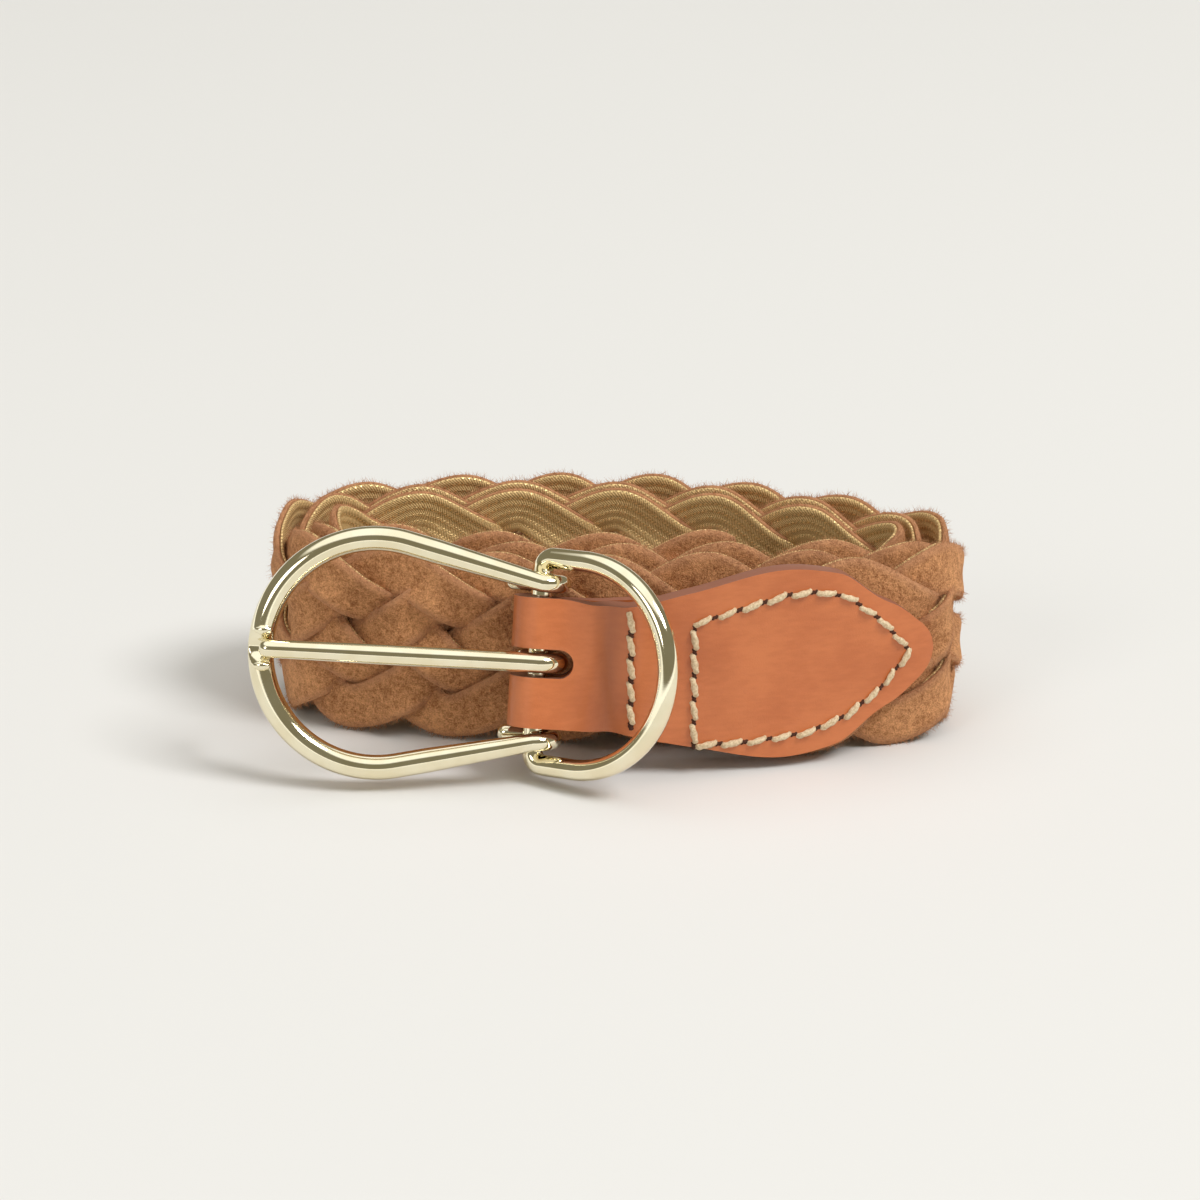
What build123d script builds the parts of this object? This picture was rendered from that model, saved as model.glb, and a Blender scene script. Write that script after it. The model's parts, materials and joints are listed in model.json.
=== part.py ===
from build123d import *
import os
from math import acos, atan2, cos, hypot, pi, radians, sin, sqrt

# Braided leather belt, coiled and standing on its edge, buckle in front.
# X runs along the coil, -Y is its front, Z is up, and Z = 0 is the surface it stands on.

# Strap
BELT_WIDTH = 35.0  # height of the standing strap
SUEDE_THICK = 2.0  # outer face of the braid
RIBBON_THICK = 1.5  # inner face of the braid
RIBBON_INSET = 0.6  # the ribbons stop short of the suede at both edges
TURNS = 3

# Coil: four tangent arcs a turn, drawn on the strap's middle line
RIGHT_BEND = (47.2, 11.5)
RIGHT_RADIUS = 13.4
LEFT_BEND = (-38.0, 20.0)
LEFT_RADIUS = 16.0
BACK_RADIUS = 120.0
FRONT_RADIUS = 190.0
PITCH = 4.3  # from one turn to the next
BUCKLE_STANDOFF = 13.5  # the first turn's front lies this far outside the second's
TIP_STANDOFF = 2.6  # extra room for the leather tip on the last front run
LAST_RUN = 64.0  # length of the strap past the last left bend

# Buckle, sizes in the plane of the frame; the hinge bar is the D ring's straight side
BAR_X = -9.7
BAR_HEIGHT = 19.6
LEAN = 16.0  # the top of the bar leans away from the front
TILT = 3.5  # and a little to the right
BAR_RADIUS = 1.75
HINGE_GAP = 0.06  # running fit of every eye on the bar
FRAME_WIRE = 2.05
FRAME_ROUND = 18.9  # radius of the frame's round end, on the wire's middle line
FRAME_LENGTH = 45.5  # from the bar to the wire's middle at the round end
EYE_HEIGHT = 13.2  # of each frame eye from the bar's middle
EYE_WIRE = 1.5
EYE_TAIL = 4.6
ARM_START = 3.5  # the frame's thicker wire begins this far past the bar
PRONG_WIRE = 1.65
PRONG_TAIL = 2.6
PRONG_SEAT = 1.1  # depth of the notch that the prong's tip rests in
LUG_RADIUS = 1.0
RING_HALF = 17.2  # half the D ring's height, on the wire's middle line
RING_DEPTH = 25.2
RING_CORNER = 2.2
RING_REST = 33.0  # the D ring hangs this far forward of the strap

# Chape: one leather strip folded round the bar, both leaves stitched over the braid's end
LEAF = 2.7
BACK_LEAF = 1.5
FOLD_HALF = 10.8
SLOT_HALF = 2.4
SLOT_END = 5.9  # past the bar's middle
BRAID_GAP = 0.1
NECK_START = 7.0
TAB_START = 20.0  # along X from the bar, where the leaves reach round the braid
FOLD_SEAM = 14.0
BACK_LEAF_END = 30.0
TAB_TIP = 63.9
TAB_LOW = 2.2
TAB_HIGH = 35.6

# Leather tip on the inner end, and the thread
TIP_LENGTH = 42.0
TIP_LEAF = 1.3
TIP_HALF = 12.5
STITCH = 3.1
STITCH_PITCH = 4.15
TAB_SEAM_START = 24.7  # along X from the bar
TAB_SEAM_END = 59.8
THREAD = 0.55
THREAD_SUNK = 0.15

BRAID = SUEDE_THICK + RIBBON_THICK
OUTER = BRAID / 2
MIDDLE = OUTER - SUEDE_THICK
os.makedirs("parts", exist_ok=True)


def tangent_centre(left_radius, right_radius, radius, side):
    """Centre of the arc that holds both bends inside it; side is +1 above them and -1 below."""
    ax, ay = LEFT_BEND
    bx, by = RIGHT_BEND
    span = hypot(bx - ax, by - ay)
    to_left = radius - left_radius
    to_right = radius - right_radius
    along = (to_left**2 - to_right**2 + span**2) / (2 * span)
    across = side * sqrt(to_left**2 - along**2)
    ux, uy = (bx - ax) / span, (by - ay) / span
    return ax + along * ux - across * uy, ay + along * uy + across * ux


def heading(centre, bend):
    """Angle at which the big arc about centre meets the small arc about bend."""
    return atan2(bend[1] - centre[1], bend[0] - centre[0])


def coil():
    """The middle line as arcs (centre, radius, first angle, last angle), all turning left."""
    arcs = []
    for turn in range(TURNS + 1):
        left = LEFT_RADIUS - PITCH * (turn - 1)
        right = RIGHT_RADIUS - PITCH * turn
        if turn == 0:
            left = LEFT_RADIUS + BUCKLE_STANDOFF
        if turn == TURNS:
            right -= TIP_STANDOFF
        front = tangent_centre(left, right, FRONT_RADIUS, 1)
        first = heading(front, LEFT_BEND)
        last = heading(front, RIGHT_BEND)
        if turn == 0:
            first = -pi / 2 - (front[0] - BAR_X) / FRONT_RADIUS
        if turn == TURNS:
            arcs.append((front, FRONT_RADIUS, first, first + LAST_RUN / FRONT_RADIUS))
            break
        arcs.append((front, FRONT_RADIUS, first, last))
        back_radius = BACK_RADIUS - PITCH * turn
        left = LEFT_RADIUS - PITCH * turn
        back = tangent_centre(left, right, back_radius, -1)
        back_first = heading(back, RIGHT_BEND)
        back_last = heading(back, LEFT_BEND)
        arcs.append((RIGHT_BEND, right, last, back_first))
        arcs.append((back, back_radius, back_first, back_last))
        right_next = right - PITCH
        if turn == TURNS - 1:
            right_next -= TIP_STANDOFF
        front_next = tangent_centre(left, right_next, FRONT_RADIUS, 1)
        arcs.append((LEFT_BEND, left, back_last, heading(front_next, LEFT_BEND) + 2 * pi))
    return arcs


COIL = coil()
LENGTH = sum(radius * (last - first) for _, radius, first, last in COIL)


def place(run, offset, height=0.0):
    """The point a run along the strap, offset outwards from its middle line."""
    for centre, radius, first, last in COIL:
        if run <= radius * (last - first):
            break
        run -= radius * (last - first)
    angle = first + run / radius
    reach = radius + offset
    return Vector(centre[0] + reach * cos(angle), centre[1] + reach * sin(angle), height)


def direction(run):
    return (place(run + 0.5, 0) - place(run - 0.5, 0)).normalized()


def run_at(x):
    """Run along the first front where the middle line passes x."""
    centre, radius, first, _ = COIL[0]
    return radius * (atan2(-sqrt(radius**2 - (x - centre[0]) ** 2), x - centre[0]) - first)


def pieces(start, stop):
    """The coil's arcs between two runs, each as (start, middle, end) runs."""
    found, here = [], 0.0
    for _, radius, first, last in COIL:
        there = here + radius * (last - first)
        low, high = max(here, start), min(there, stop)
        if high - low > 1e-6:
            found.append((low, (low + high) / 2, high))
        here = there
    return found


def band(start, stop, inner, outer, low, high):
    """A closed strip of the coil between two runs, two offsets and two heights."""
    edges = []
    for a, b, c in pieces(start, stop):
        edges.append(ThreePointArc(*(place(run, outer) for run in (a + 1e-7, b, c - 1e-7))))
        edges.append(ThreePointArc(*(place(run, inner) for run in (a + 1e-7, b, c - 1e-7))))
    for run in (start + 1e-7, stop - 1e-7):
        edges.append(Line(place(run, inner), place(run, outer)))
    outline = make_face(Wire.combine(edges, tol=1e-3)[0].edges())
    return Pos(0, 0, low) * extrude(outline, high - low, dir=(0, 0, 1))


def bar_plane():
    """Local Z is the bar's axis, local -X points into the frame, local -Y is the front."""
    axis = Vector(sin(radians(TILT)), cos(radians(TILT)) * sin(radians(LEAN)), 0)
    axis += Vector(0, 0, cos(radians(TILT)) * cos(radians(LEAN)))
    along = direction(1.0)
    along = (along - axis * along.dot(axis)).normalized()
    origin = place(0, 0, BAR_HEIGHT)
    return Plane(origin=origin, x_dir=along, z_dir=axis)


BAR = bar_plane()


def wire(path, radius):
    """Round wire along a path of lines and arcs."""
    section = Plane(path @ 0, z_dir=path % 0) * Circle(radius)
    return sweep(section, path=path)


def loop_round(height, radius, tail, reach):
    """Path of a hooked eye: a tail behind the bar, round its right side and off to the front left."""
    arm = BAR_RADIUS + HINGE_GAP + radius
    back = Line((-tail, arm, height), (0, arm, height))
    turn = ThreePointArc((0, arm, height), (arm, 0, height), (0, -arm, height))
    front = Line((0, -arm, height), (-reach, -arm, height))
    return back + turn + front


def make_d_ring():
    """The ring and its straight side, one closed wire; that side is the hinge bar."""
    bow = RING_HALF
    straight = RING_HALF - RING_CORNER
    k = RING_CORNER * (1 - cos(pi / 4))
    flat = RING_DEPTH - bow
    path = Line((0, 0, -straight), (0, 0, straight))
    path += ThreePointArc((0, 0, straight), (k, 0, RING_HALF - k), (RING_CORNER, 0, RING_HALF))
    path += Line((RING_CORNER, 0, RING_HALF), (flat, 0, RING_HALF))
    path += ThreePointArc((flat, 0, bow), (flat + bow, 0, 0), (flat, 0, -bow))
    path += Line((flat, 0, -RING_HALF), (RING_CORNER, 0, -RING_HALF))
    path += ThreePointArc((RING_CORNER, 0, -RING_HALF), (k, 0, k - RING_HALF), (0, 0, -straight))
    return Rot(0, 0, -RING_REST) * wire(path, BAR_RADIUS)


def make_frame():
    """Pear shaped frame: two hooked eyes on the bar, straight arms and a round end."""
    level = -(BAR_RADIUS + HINGE_GAP + EYE_WIRE)
    centre = FRAME_ROUND - FRAME_LENGTH
    away = hypot(centre + ARM_START, EYE_HEIGHT)
    touch = atan2(EYE_HEIGHT, -ARM_START - centre) + acos(FRAME_ROUND / away)
    tx, tz = centre + FRAME_ROUND * cos(touch), FRAME_ROUND * sin(touch)
    path = Line((-ARM_START, level, EYE_HEIGHT), (tx, level, tz))
    path += ThreePointArc((tx, level, tz), (-FRAME_LENGTH, level, 0), (tx, level, -tz))
    path += Line((tx, level, -tz), (-ARM_START, level, -EYE_HEIGHT))
    body = wire(path, FRAME_WIRE)
    for side in (1, -1):
        body += Pos(-ARM_START, level, side * EYE_HEIGHT) * Sphere(FRAME_WIRE)
        body += wire(loop_round(side * EYE_HEIGHT, EYE_WIRE, EYE_TAIL, ARM_START), EYE_WIRE)
    for side in (1, -1):
        lug = Pos(-FRAME_LENGTH + 0.6, level - FRAME_WIRE + 0.2, side * (PRONG_WIRE + LUG_RADIUS + 0.35))
        body += lug * Sphere(LUG_RADIUS)
    seat = Pos(-FRAME_LENGTH, level - FRAME_WIRE - PRONG_WIRE + PRONG_SEAT, 0)
    body -= seat * Rot(0, 90, 0) * Cylinder(PRONG_WIRE + 0.12, 4 * FRAME_WIRE)
    return body


def make_prong():
    """Round prong: its eye turns on the bar in the chape's slot, its tip rests on the frame."""
    arm = BAR_RADIUS + HINGE_GAP + PRONG_WIRE
    level = -(BAR_RADIUS + HINGE_GAP + EYE_WIRE)
    seat = level - FRAME_WIRE - PRONG_WIRE + PRONG_SEAT
    body = wire(loop_round(0, PRONG_WIRE, PRONG_TAIL, 4.0), PRONG_WIRE)
    shank = ThreePointArc((-4.0, -arm, 0), (-26.0, (seat - arm) / 2 - 1.6, 0), (-FRAME_LENGTH - 0.4, seat, 0))
    body += wire(shank, PRONG_WIRE)
    for end in ((-4.0, -arm, 0), (-FRAME_LENGTH - 0.4, seat, 0)):
        body += Pos(*end) * Sphere(PRONG_WIRE)
    return body


def tab_outline():
    """Front view of the stitched tab, from its narrow neck to its blunt point, in X and Z."""
    neck, tip = BAR_X + NECK_START + 2, BAR_X + TAB_TIP
    middle, half = (TAB_LOW + TAB_HIGH) / 2, (TAB_HIGH - TAB_LOW) / 2
    curve = [
        (tip - 51.0, FOLD_HALF + 0.4),
        (tip - 39.0, half - 3.0),
        (tip - 24.0, half),
        (tip - 15.5, half - 1.4),
        (tip - 8.5, half - 6.6),
        (tip - 2.4, 5.6),
    ]
    top = Spline(*((x, middle + z) for x, z in curve))
    nose = ThreePointArc(top @ 1, (tip, middle), (tip - 2.4, middle - 5.6))
    low = Spline(*((x, middle - z) for x, z in reversed(curve)))
    ends = [(neck, middle - FOLD_HALF), (neck, middle + FOLD_HALF)]
    edges = [top, nose, low, Line(low @ 1, ends[0]), Line(*ends), Line(ends[1], top @ 0)]
    return make_face(Wire.combine(edges, tol=1e-3)[0].edges())


def make_chape():
    """One strip: the front leaf, the fold round the bar and the short back leaf."""
    shape = Plane(origin=(0, 0, 0), x_dir=(1, 0, 0), z_dir=(0, -1, 0)) * tab_outline()
    shape = Pos(0, 60, 0) * extrude(shape, 120, dir=(0, -1, 0))
    start, mid = run_at(BAR_X + NECK_START + 2), run_at(BAR_X + TAB_START)
    end = run_at(BAR_X + TAB_TIP - 4) + 6
    back_end = run_at(BAR_X + BACK_LEAF_END)
    face = OUTER + BRAID_GAP
    front = band(mid, end, face, face + LEAF, 0, BELT_WIDTH)
    back = band(mid, back_end, -face - BACK_LEAF, -face, 0, BELT_WIDTH)
    whole = band(start + 2, mid, -face - BACK_LEAF, face + LEAF, 0, BELT_WIDTH)
    tab = (front + back + whole) & shape
    radius = BAR_RADIUS + HINGE_GAP + LEAF
    fold = Cylinder(radius, 2 * FOLD_HALF)
    fold += Pos(NECK_START / 2, 0, 0) * Box(NECK_START, 2 * radius - 1.0, 2 * FOLD_HALF)
    slot_length = SLOT_END + radius + 2 - SLOT_HALF
    slot = Pos(SLOT_END - SLOT_HALF - slot_length / 2, 0, 0) * Box(slot_length, 3 * radius, 2 * SLOT_HALF)
    slot += Pos(SLOT_END - SLOT_HALF, 0, 0) * Rot(90, 0, 0) * Cylinder(SLOT_HALF, 3 * radius)
    fold = fold - Cylinder(BAR_RADIUS + HINGE_GAP, 3 * FOLD_HALF) - slot
    near = BAR * Pos(NECK_START - 0.2, 0, 0) * Rot(0, 90, 0) * Rectangle(2 * FOLD_HALF, 2 * radius - 1.0)
    there = place(start + 2.2, (LEAF - BACK_LEAF) / 2, BAR_HEIGHT)
    far_plane = Plane(origin=there, x_dir=(0, 0, -1), z_dir=direction(start + 2.2))
    far = far_plane * Rectangle(2 * FOLD_HALF, BRAID + 2 * BRAID_GAP + LEAF + BACK_LEAF)
    neck = loft([near.faces()[0], far.faces()[0]], ruled=True)
    return tab.fuse(BAR.location * fold, neck)


def stitch(run, offset, height, slope):
    """One stitch of thread, lying along the strap's face and turned by slope."""
    along = direction(run) * cos(slope) + Vector(0, 0, sin(slope))
    middle = place(run, offset, height)
    path = Line(middle - along * STITCH / 2, middle + along * STITCH / 2)
    return wire(path, THREAD)


def seam(points, offset):
    """Stitches at even steps along a polyline of (run, height) points."""
    path = Polyline(*points)
    count = round(path.length / STITCH_PITCH)
    solids = []
    for number in range(count):
        where = path @ ((number + 0.5) / count)
        way = path % ((number + 0.5) / count)
        solids.append(stitch(where.X, offset, where.Y, atan2(way.Y, way.X)))
    return solids


def make_tab_seam():
    left, right = run_at(BAR_X + TAB_SEAM_START), run_at(BAR_X + TAB_SEAM_END)
    low, high = TAB_LOW + 3.6, TAB_HIGH - 4.0
    span = right - left
    middle = (TAB_LOW + TAB_HIGH) / 2
    points = [(left, low), (left, high - 4.5), (left + 0.42 * span, high), (left + 0.6 * span, high)]
    points += [(left + 0.8 * span, high - 4.0), (right, middle)]
    points += [(left + 0.8 * span, low + 4.0), (left + 0.55 * span, low), (left, low)]
    return seam(points, OUTER + BRAID_GAP + LEAF + THREAD - THREAD_SUNK)


def make_fold_seam():
    run = run_at(BAR_X + FOLD_SEAM)
    reach = FOLD_HALF - 0.4
    points = [(run, BAR_HEIGHT - reach), (run, BAR_HEIGHT + reach)]
    return seam(points, OUTER + BRAID_GAP + LEAF + THREAD - THREAD_SUNK)


def make_tip(inner, outer):
    """A leaf of the leather tip, its end blunt and rounded."""
    start, end = LENGTH - TIP_LENGTH, LENGTH - 0.2
    middle = BELT_WIDTH / 2
    return band(start, end, inner, outer, middle - TIP_HALF, middle + TIP_HALF)


def make_tip_seam():
    start, end = LENGTH - TIP_LENGTH + 3, LENGTH - 3
    low, high = BELT_WIDTH / 2 - TIP_HALF + 3, BELT_WIDTH / 2 + TIP_HALF - 3
    points = [(start, low), (start, high), (end, high), (end, low), (start, low)]
    return seam(points, -OUTER - BRAID_GAP - TIP_LEAF - THREAD + THREAD_SUNK)


BRAID_START = run_at(BAR_X + TAB_START) + 0.3
parts = {
    "suede_braid": band(BRAID_START, LENGTH - 1, MIDDLE, OUTER, 0, BELT_WIDTH),
    "ribbon_braid": band(
        BRAID_START, LENGTH - 1, -OUTER, MIDDLE, RIBBON_INSET, BELT_WIDTH - RIBBON_INSET
    ),
    "chape": make_chape(),
    "fold_stitches": Compound(make_fold_seam()),
    "tab_stitches": Compound(make_tab_seam()),
    "tip_outer_leaf": make_tip(OUTER + BRAID_GAP, OUTER + BRAID_GAP + TIP_LEAF),
    "tip_inner_leaf": make_tip(-OUTER - BRAID_GAP - TIP_LEAF, -OUTER - BRAID_GAP),
    "tip_stitches": Compound(make_tip_seam()),
    "d_ring": BAR.location * make_d_ring(),
    "buckle_frame": BAR.location * make_frame(),
    "prong": BAR.location * make_prong(),
}

# The row's origin is the middle of the belt's footprint, on the surface it stands on.
whole = Compound([solid for shape in parts.values() for solid in shape.solids()]).bounding_box()
centre = Pos(-whole.center().X, -whole.center().Y, 0)
for name, shape in parts.items():
    export_step(centre * shape, f"parts/{name}.step")
    box = (centre * shape).bounding_box()
    print(name, "volume", round(shape.volume, 1), "from", box.min, "to", box.max)
bar = centre * BAR.location
print("strap length", round(LENGTH), "bar at", bar.position, "axis", BAR.z_dir, "x", BAR.x_dir)
print("standing edge at", centre * Pos(place(LENGTH * 0.25, 0.5)))
print("moved by", centre.position)
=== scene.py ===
# %% [markdown]
# # Braided belt
# A coiled belt standing on its edge: five suede strips braided flat, each with a ribbed metallic
# ribbon on its inner face, a leather chape folded round a hinge bar, and a wire buckle.
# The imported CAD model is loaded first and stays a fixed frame; everything is placed from it.

# %% Load the frame
import bpy, bmesh, json, math
import numpy as np
from mathutils import Matrix, Vector


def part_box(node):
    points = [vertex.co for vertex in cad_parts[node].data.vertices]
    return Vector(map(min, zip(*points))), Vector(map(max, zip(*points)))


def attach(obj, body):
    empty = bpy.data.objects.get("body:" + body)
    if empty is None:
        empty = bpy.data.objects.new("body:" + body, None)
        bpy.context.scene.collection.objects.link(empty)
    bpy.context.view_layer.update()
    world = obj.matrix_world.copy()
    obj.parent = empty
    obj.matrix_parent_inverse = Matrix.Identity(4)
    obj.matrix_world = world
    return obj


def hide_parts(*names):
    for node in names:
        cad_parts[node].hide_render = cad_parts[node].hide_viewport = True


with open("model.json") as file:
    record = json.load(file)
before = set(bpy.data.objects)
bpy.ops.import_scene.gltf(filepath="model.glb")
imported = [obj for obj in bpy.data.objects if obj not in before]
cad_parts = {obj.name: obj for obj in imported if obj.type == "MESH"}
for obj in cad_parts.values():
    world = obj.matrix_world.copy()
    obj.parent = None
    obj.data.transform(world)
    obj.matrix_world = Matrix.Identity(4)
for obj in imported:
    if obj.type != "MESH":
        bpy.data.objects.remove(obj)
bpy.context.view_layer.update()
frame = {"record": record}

# %% [markdown]
# ## Camera
# A long lens keeps the coil's ellipse calm. The camera looks down at the front of the coil, and a
# small upward shift leaves the belt a little below the middle of the picture.

# %% Camera
MM = 0.001
ELEVATION = math.radians(22.0)
DISTANCE = 0.590
target = Vector((-0.0020, -0.0077, 0.0170))
camera_data = bpy.data.cameras.new("camera")
camera_data.sensor_width = 36.0
camera_data.lens = 105.0
camera_data.shift_y = 0.0417
camera = bpy.data.objects.new("camera", camera_data)
bpy.context.collection.objects.link(camera)
away = Vector((0, -math.cos(ELEVATION), math.sin(ELEVATION)))
camera.location = target + away * DISTANCE
camera.rotation_euler = away.to_track_quat("Z", "Y").to_euler()
bpy.context.scene.camera = camera
print("camera at", tuple(round(v, 3) for v in camera.location))

# %% [markdown]
# ## The coil's line
# The strap lies along a spiral of tangent arcs: a shallow front, a tight right bend, a shallow
# back and a wider left bend, each turn one pitch inside the last. Working with a run along that
# line, an offset outwards and a height makes every part of the strap easy to place.

# %% Driving sizes of the coil, in millimetres
BELT_WIDTH = 35.0
RIGHT_BEND, RIGHT_RADIUS = (47.2, 11.5), 13.4
LEFT_BEND, LEFT_RADIUS = (-38.0, 20.0), 16.0
BACK_RADIUS, FRONT_RADIUS = 120.0, 190.0
PITCH, STANDOFF, TIP_STANDOFF, LAST_RUN = 4.3, 13.5, 2.6, 64.0
TURNS, BAR_X, HALF_BRAID = 3, -9.7, 1.75


def tangent_centre(left_radius, right_radius, radius, side):
    """Centre of the arc that holds both bends inside it; side is +1 above them and -1 below."""
    (ax, ay), (bx, by) = LEFT_BEND, RIGHT_BEND
    span = math.hypot(bx - ax, by - ay)
    to_left, to_right = radius - left_radius, radius - right_radius
    along = (to_left**2 - to_right**2 + span**2) / (2 * span)
    across = side * math.sqrt(to_left**2 - along**2)
    ux, uy = (bx - ax) / span, (by - ay) / span
    return ax + along * ux - across * uy, ay + along * uy + across * ux


def heading(centre, bend):
    return math.atan2(bend[1] - centre[1], bend[0] - centre[0])


def coil_arcs():
    """The strap's middle line as (centre, radius, first angle, last angle), all turning left."""
    arcs = []
    for turn in range(TURNS + 1):
        left = LEFT_RADIUS - PITCH * (turn - 1) if turn else LEFT_RADIUS + STANDOFF
        right = RIGHT_RADIUS - PITCH * turn - (TIP_STANDOFF if turn == TURNS else 0)
        front = tangent_centre(left, right, FRONT_RADIUS, 1)
        first, last = heading(front, LEFT_BEND), heading(front, RIGHT_BEND)
        if turn == 0:
            first = -math.pi / 2 - (front[0] - BAR_X) / FRONT_RADIUS
        if turn == TURNS:
            arcs.append((front, FRONT_RADIUS, first, first + LAST_RUN / FRONT_RADIUS))
            break
        arcs.append((front, FRONT_RADIUS, first, last))
        left, radius = LEFT_RADIUS - PITCH * turn, BACK_RADIUS - PITCH * turn
        back = tangent_centre(left, right, radius, -1)
        arcs.append((RIGHT_BEND, right, last, heading(back, RIGHT_BEND)))
        arcs.append((back, radius, heading(back, RIGHT_BEND), heading(back, LEFT_BEND)))
        inner = right - PITCH - (TIP_STANDOFF if turn == TURNS - 1 else 0)
        following = tangent_centre(left, inner, FRONT_RADIUS, 1)
        arcs.append((LEFT_BEND, left, heading(back, LEFT_BEND), heading(following, LEFT_BEND) + 2 * math.pi))
    return arcs


ARCS = coil_arcs()
ENDS = np.cumsum([radius * (last - first) for _, radius, first, last in ARCS])
LENGTH = float(ENDS[-1])
low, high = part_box("suede_braid")
back_centre, back_radius = ARCS[2][0], ARCS[2][1]
SHIFT = np.array([low[0] / MM - (LEFT_BEND[0] - LEFT_RADIUS - HALF_BRAID),
                  high[1] / MM - (back_centre[1] + back_radius + HALF_BRAID), low[2] / MM])
print("strap length", round(LENGTH), "mm, shift", SHIFT)


def on_strap(run, offset, height):
    """Points in metres from arrays of run, outward offset and height in millimetres."""
    run, offset, height = np.broadcast_arrays(*(np.asarray(v, float) for v in (run, offset, height)))
    which = np.clip(np.searchsorted(ENDS, run), 0, len(ARCS) - 1)
    starts = np.concatenate([[0.0], ENDS[:-1]])[which]
    cx = np.array([arc[0][0] for arc in ARCS])[which]
    cy = np.array([arc[0][1] for arc in ARCS])[which]
    radius = np.array([arc[1] for arc in ARCS])[which]
    angle = np.array([arc[2] for arc in ARCS])[which] + (run - starts) / radius
    reach = radius + offset
    points = np.stack([cx + reach * np.cos(angle), cy + reach * np.sin(angle), height], -1)
    return (points + SHIFT) * MM


def run_at(x):
    """Run along the first front where the middle line passes x."""
    (cx, _), radius, first, _ = ARCS[0]
    return radius * (math.atan2(-math.sqrt(radius**2 - (x - cx) ** 2), x - cx) - first)


# %% Helpers that turn arrays of points into meshes
def mesh_object(name, points, faces, uvs=None, smooth=True):
    """A mesh object from points, faces and one UV for each point."""
    mesh = bpy.data.meshes.new(name)
    mesh.from_pydata([tuple(p) for p in points], [], [tuple(int(i) for i in f) for f in faces])
    if uvs is not None:
        layer = mesh.uv_layers.new(name="UVMap")
        corners = np.empty(len(mesh.loops), dtype=np.int32)
        mesh.loops.foreach_get("vertex_index", corners)
        layer.data.foreach_set("uv", np.asarray(uvs, np.float32)[corners].ravel())
    mesh.shade_smooth() if smooth else None
    made = bpy.data.objects.new(name, mesh)
    bpy.context.collection.objects.link(made)
    return made


def tube_faces(rings, around):
    """Quads between closed rings of points, and a fan cap at each end."""
    i, j = np.meshgrid(np.arange(rings - 1), np.arange(around), indexing="ij")
    k = (j + 1) % around
    quads = np.stack([i * around + j, i * around + k, (i + 1) * around + k, (i + 1) * around + j], -1)
    faces = [list(q) for q in quads.reshape(-1, 4)]
    faces.append(list(range(around - 1, -1, -1)))
    faces.append([(rings - 1) * around + j for j in range(around)])
    return faces


def outward(made):
    """Turns every face of a closed mesh outwards."""
    working = bmesh.new()
    working.from_mesh(made.data)
    bmesh.ops.recalc_face_normals(working, faces=working.faces)
    working.to_mesh(made.data)
    working.free()
    return made


def bake_modifiers(made):
    """Replaces an object's mesh with its evaluated one, and removes its modifiers."""
    graph = bpy.context.evaluated_depsgraph_get()
    mesh = bpy.data.meshes.new_from_object(made.evaluated_get(graph))
    made.modifiers.clear()
    made.data = mesh
    return made


# %% [markdown]
# ## Writing materials as sums
# A shader is easier to read as an expression than as a web of nodes. One small class wraps a
# socket, so that `1 - mask * 0.5` adds the Math nodes by itself.

# %% Socket wrapper
class Socket:
    """A node's output that can be used in arithmetic."""

    def __init__(self, tree, socket):
        self.tree, self.socket = tree, socket

    def node(self, kind, settings=None, out=0, **values):
        made = self.tree.nodes.new(kind)
        for key, value in (settings or {}).items():
            if key == "stops":
                ramp = made.color_ramp
                while len(ramp.elements) < len(value):
                    ramp.elements.new(0.5)
                for element, (place, colour) in zip(ramp.elements, value):
                    element.position, element.color = place, (*colour, 1.0)
            else:
                setattr(made, key, value)
        for key, value in values.items():
            index = int(key[1:]) if key[0] == "i" and key[1:].isdigit() else key.replace("_", " ")
            if isinstance(value, Socket):
                self.tree.links.new(value.socket, made.inputs[index])
            else:
                made.inputs[index].default_value = value
        return Socket(self.tree, made.outputs[out])

    def math(self, operation, other=0.0, third=0.0):
        return self.node("ShaderNodeMath", {"operation": operation}, i0=self, i1=other, i2=third)

    def flipped(self, operation, other):
        return self.node("ShaderNodeMath", {"operation": operation}, i0=other, i1=self)

    def __add__(self, other): return self.math("ADD", other)
    def __radd__(self, other): return self.math("ADD", other)
    def __sub__(self, other): return self.math("SUBTRACT", other)
    def __rsub__(self, other): return self.flipped("SUBTRACT", other)
    def __mul__(self, other): return self.math("MULTIPLY", other)
    def __rmul__(self, other): return self.math("MULTIPLY", other)
    def __truediv__(self, other): return self.math("DIVIDE", other)

    def between(self, start, stop, first=0.0, last=1.0):
        settings = {"interpolation_type": "SMOOTHSTEP"}
        return self.node("ShaderNodeMapRange", settings, i0=self, i1=start, i2=stop, i3=first, i4=last)

    def mix(self, one, other):
        """Colour mix with this socket as the factor."""
        return self.node("ShaderNodeMix", {"data_type": "RGBA"}, out=2, i0=self, i6=one, i7=other)


def new_material(name, roughness=0.5, metallic=0.0, **constants):
    """A Principled material; returns it with its shader node and a starting socket."""
    made = bpy.data.materials.new(name)
    made.use_nodes = True
    shader = made.node_tree.nodes["Principled BSDF"]
    shader.inputs["Roughness"].default_value = roughness
    shader.inputs["Metallic"].default_value = metallic
    for key, value in constants.items():
        shader.inputs[key.replace("_", " ")].default_value = value
    start = Socket(made.node_tree, None)
    return made, shader, start


def feed(start, shader, **inputs):
    for key, value in inputs.items():
        start.tree.links.new(value.socket, shader.inputs[key.replace("_", " ")])


def colour(r, g, b):
    """sRGB 0..255 to the linear colour that a shader wants."""
    linear = [((c / 255 + 0.055) / 1.055) ** 2.4 if c > 10 else c / 255 / 12.92 for c in (r, g, b)]
    return (*linear, 1.0)


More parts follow.
